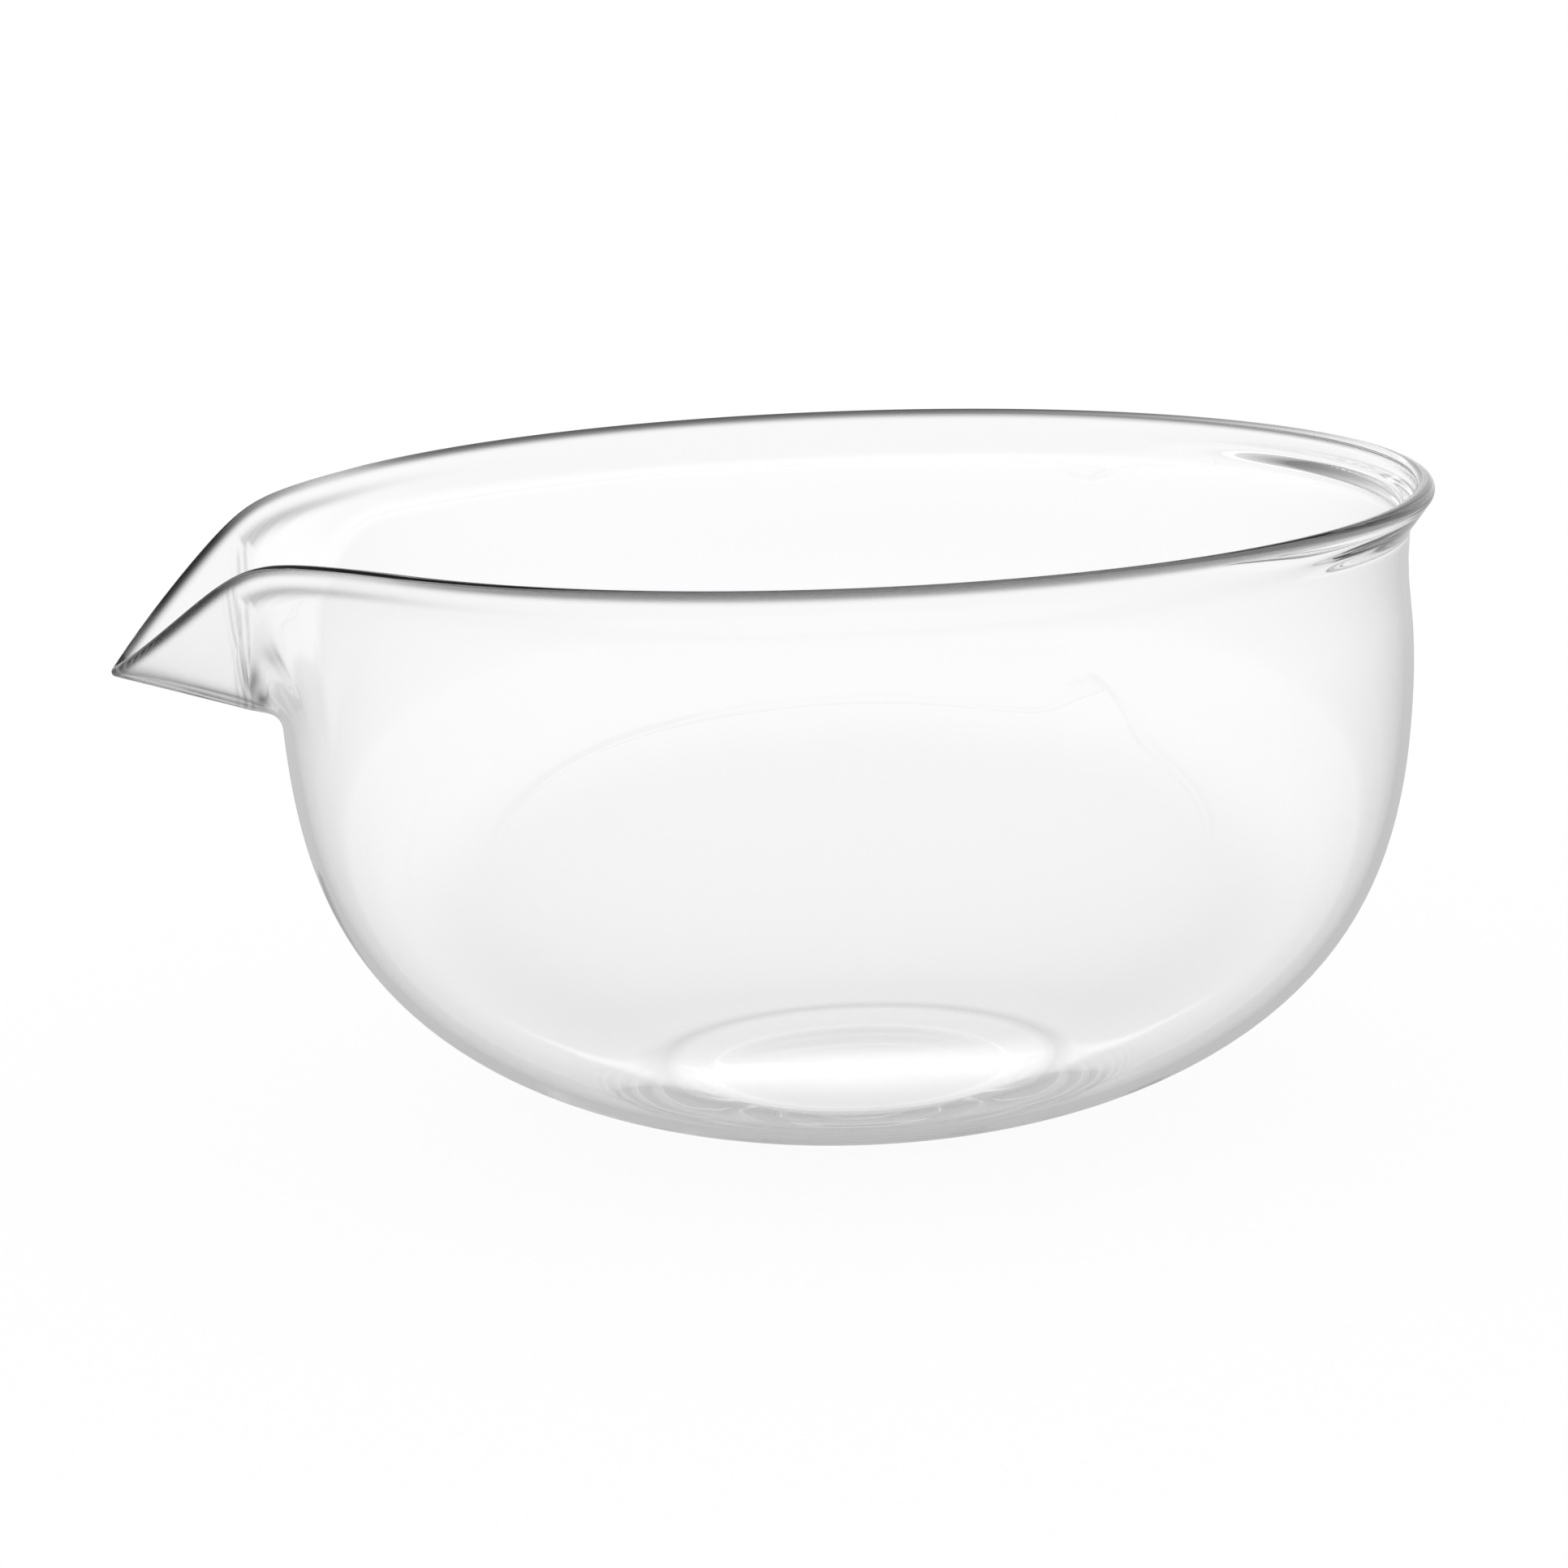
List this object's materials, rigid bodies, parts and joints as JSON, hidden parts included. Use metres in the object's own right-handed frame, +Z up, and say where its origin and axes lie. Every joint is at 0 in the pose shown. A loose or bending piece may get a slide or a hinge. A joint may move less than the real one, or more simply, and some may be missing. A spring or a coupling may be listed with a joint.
{
  "type": "spouted matcha bowl",
  "caption": "Clear glass whisking bowl with a deep round body, a flared fire-polished lip and a drawn pouring spout, for whisking tea and pouring it out.",
  "frame": {"origin": "centre of the foot's flat underside, on the axis of the round body", "axes": "+Z up along the body's axis, -X out along the pouring spout, +Y across the bowl"},
  "size_m": [0.1403, 0.1252, 0.0662],
  "materials": {
    "body_glass": "clear fire-polished borosilicate glass",
    "spout_glass": "clear fire-polished borosilicate glass"
  },
  "bodies": {
    "root": {"bowl_body": "body_glass", "pouring_spout": "spout_glass"}
  },
  "joints": []
}
